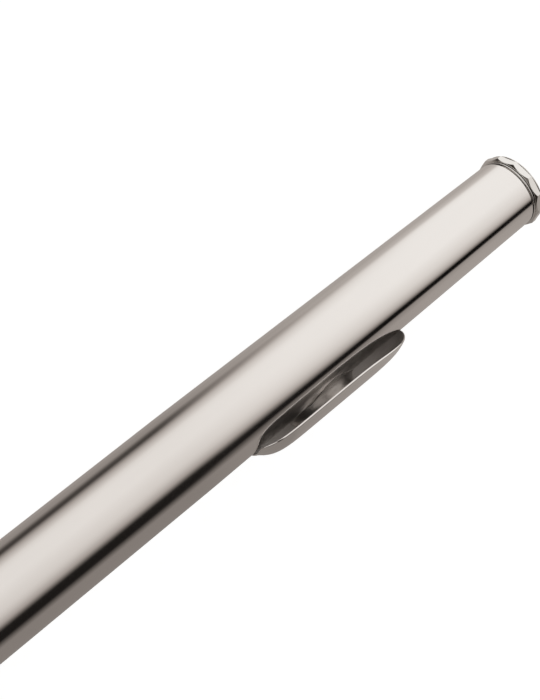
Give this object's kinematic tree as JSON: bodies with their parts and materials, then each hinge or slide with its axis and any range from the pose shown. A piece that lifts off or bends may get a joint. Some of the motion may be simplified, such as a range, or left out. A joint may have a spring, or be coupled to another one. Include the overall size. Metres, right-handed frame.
{
  "type": "piccolo",
  "caption": "Metal piccolo: tapered head joint with lip plate and faceted crown, sliding into a cylindrical body with hinged padded keys on rods and posts.",
  "frame": {"origin": "centre of the bounding box, on the plane that the lowest point rests on", "axes": "+X along the tube towards the crown; the embouchure hole and the key cups face -Y; the player's side, with the key rods, faces +Z"},
  "size_m": [0.3138, 0.028, 0.0231],
  "materials": {
    "satin_silver": "satin silver plate, brushed along the tube",
    "polished_silver": "polished silver plate",
    "steel": "bright drawn steel",
    "cork": "natural cork",
    "pad_skin": "thin translucent skin over felt"
  },
  "bodies": {
    "body": {"body_tube": "satin_silver", "barrel": "polished_silver", "foot_ring": "polished_silver", "main_rib": "polished_silver", "thumb_rib": "polished_silver", "g_sharp_rib": "polished_silver", "left_hand_rod": "steel", "right_hand_rod": "steel", "d_sharp_rod": "steel", "thumb_rod": "steel", "g_sharp_rod": "steel"},
    "head_joint": {"head_tube": "satin_silver", "riser": "satin_silver", "lip_plate": "polished_silver"},
    "crown": {"crown": "polished_silver"},
    "cork_assembly": {"cork_screw": "polished_silver", "head_cork": "cork", "cork_nut": "polished_silver"},
    "c_key": {"c_key": "polished_silver", "c_pad": "pad_skin"},
    "b_flat_key": {"b_flat_key": "polished_silver", "b_flat_pad": "pad_skin"},
    "a_key": {"a_key": "polished_silver", "a_pad": "pad_skin"},
    "g_key": {"g_key": "polished_silver", "g_pad_1": "pad_skin", "g_pad_2": "pad_skin"},
    "f_sharp_key": {"f_sharp_key": "polished_silver", "f_sharp_pad": "pad_skin"},
    "f_key": {"f_key": "polished_silver", "f_pad": "pad_skin"},
    "e_key": {"e_key": "polished_silver", "e_pad": "pad_skin"},
    "d_key": {"d_key": "polished_silver", "d_pad": "pad_skin"},
    "d_sharp_key": {"d_sharp_key": "polished_silver", "d_sharp_pad": "pad_skin"},
    "d_trill_key": {"d_trill_key": "polished_silver", "d_trill_pad": "pad_skin"},
    "d_sharp_trill_key": {"d_sharp_trill_key": "polished_silver", "d_sharp_trill_pad": "pad_skin"},
    "thumb_b_key": {"thumb_b_key": "polished_silver", "thumb_b_pad": "pad_skin"},
    "thumb_b_flat_key": {"thumb_b_flat_key": "polished_silver"},
    "g_sharp_key": {"g_sharp_key": "polished_silver", "g_sharp_pad": "pad_skin"}
  },
  "joints": [
    {"name": "head_slide", "type": "slide", "parent": "body", "child": "head_joint", "axis": [1, 0, 0], "range_m": [0, 0.008]},
    {"name": "crown_turn", "type": "hinge", "parent": "head_joint", "child": "crown", "pos_m": [0.1539, -0.00132, 0.0076], "axis": [1, 0, 0], "range_deg": [-740, 740]},
    {"name": "cork_feed", "type": "slide", "parent": "head_joint", "child": "cork_assembly", "axis": [1, 0, 0], "range_m": [-0.0014, 0.0014]},
    {"name": "c_key_turn", "type": "hinge", "parent": "body", "child": "c_key", "pos_m": [-0.0034, -0.00652, 0.0152], "axis": [1, 0, 0], "range_deg": [0, 13], "stiffness_Nm_per_rad": 0.001, "springref_deg": -28.65},
    {"name": "b_flat_key_turn", "type": "hinge", "parent": "body", "child": "b_flat_key", "pos_m": [-0.0334, -0.00652, 0.0152], "axis": [1, 0, 0], "range_deg": [0, 13], "stiffness_Nm_per_rad": 0.001, "springref_deg": -28.65},
    {"name": "a_key_turn", "type": "hinge", "parent": "body", "child": "a_key", "pos_m": [-0.0439, -0.00652, 0.0152], "axis": [1, 0, 0], "range_deg": [0, 13], "stiffness_Nm_per_rad": 0.001, "springref_deg": -28.65},
    {"name": "g_key_turn", "type": "hinge", "parent": "body", "child": "g_key", "pos_m": [-0.0606, -0.00652, 0.0152], "axis": [1, 0, 0], "range_deg": [0, 13], "stiffness_Nm_per_rad": 0.001, "springref_deg": -28.65},
    {"name": "f_sharp_key_turn", "type": "hinge", "parent": "body", "child": "f_sharp_key", "pos_m": [-0.0789, -0.00652, 0.0152], "axis": [1, 0, 0], "range_deg": [0, 13], "stiffness_Nm_per_rad": 0.001, "springref_deg": -28.65},
    {"name": "f_key_turn", "type": "hinge", "parent": "body", "child": "f_key", "pos_m": [-0.0919, -0.00652, 0.0152], "axis": [1, 0, 0], "range_deg": [0, 13], "stiffness_Nm_per_rad": 0.001, "springref_deg": -28.65},
    {"name": "e_key_turn", "type": "hinge", "parent": "body", "child": "e_key", "pos_m": [-0.1059, -0.00652, 0.0152], "axis": [1, 0, 0], "range_deg": [0, 13], "stiffness_Nm_per_rad": 0.001, "springref_deg": -28.65},
    {"name": "d_key_turn", "type": "hinge", "parent": "body", "child": "d_key", "pos_m": [-0.1209, -0.00652, 0.0152], "axis": [1, 0, 0], "range_deg": [0, 13], "stiffness_Nm_per_rad": 0.001, "springref_deg": -28.65},
    {"name": "d_sharp_key_turn", "type": "hinge", "parent": "body", "child": "d_sharp_key", "pos_m": [-0.1369, -0.00652, 0.0152], "axis": [-1, 0, 0], "range_deg": [0, 12], "stiffness_Nm_per_rad": 0.001, "springref_deg": -28.65},
    {"name": "d_trill_key_turn", "type": "hinge", "parent": "body", "child": "d_trill_key", "pos_m": [0.0076, -0.00362, 0.0165], "axis": [-1, 0, 0], "range_deg": [0, 9.5], "stiffness_Nm_per_rad": 0.001, "springref_deg": -28.65},
    {"name": "d_sharp_trill_key_turn", "type": "hinge", "parent": "body", "child": "d_sharp_trill_key", "pos_m": [0.0151, -0.00362, 0.0165], "axis": [-1, 0, 0], "range_deg": [0, 9.5], "stiffness_Nm_per_rad": 0.001, "springref_deg": -28.65},
    {"name": "thumb_b_key_turn", "type": "hinge", "parent": "body", "child": "thumb_b_key", "pos_m": [-0.0239, 0.00018, 0.01669], "axis": [-1, 0, 0], "range_deg": [0, 13], "stiffness_Nm_per_rad": 0.001, "springref_deg": -28.65},
    {"name": "thumb_b_flat_key_turn", "type": "hinge", "parent": "body", "child": "thumb_b_flat_key", "pos_m": [-0.0343, 0.00018, 0.01669], "axis": [-1, 0, 0], "range_deg": [0, 13], "stiffness_Nm_per_rad": 0.001, "springref_deg": -28.65},
    {"name": "g_sharp_key_turn", "type": "hinge", "parent": "body", "child": "g_sharp_key", "pos_m": [-0.0664, 0.00018, 0.01669], "axis": [1, 0, 0], "range_deg": [0, 11], "stiffness_Nm_per_rad": 0.001, "springref_deg": -28.65}
  ],
  "couplings": [
    {"joint": "crown_turn", "follows": "cork_feed", "rad_per_m": 8976},
    {"joint": "b_flat_key_turn", "follows": "a_key_turn", "ratio": 1},
    {"joint": "f_sharp_key_turn", "follows": "f_key_turn", "ratio": 1}
  ]
}
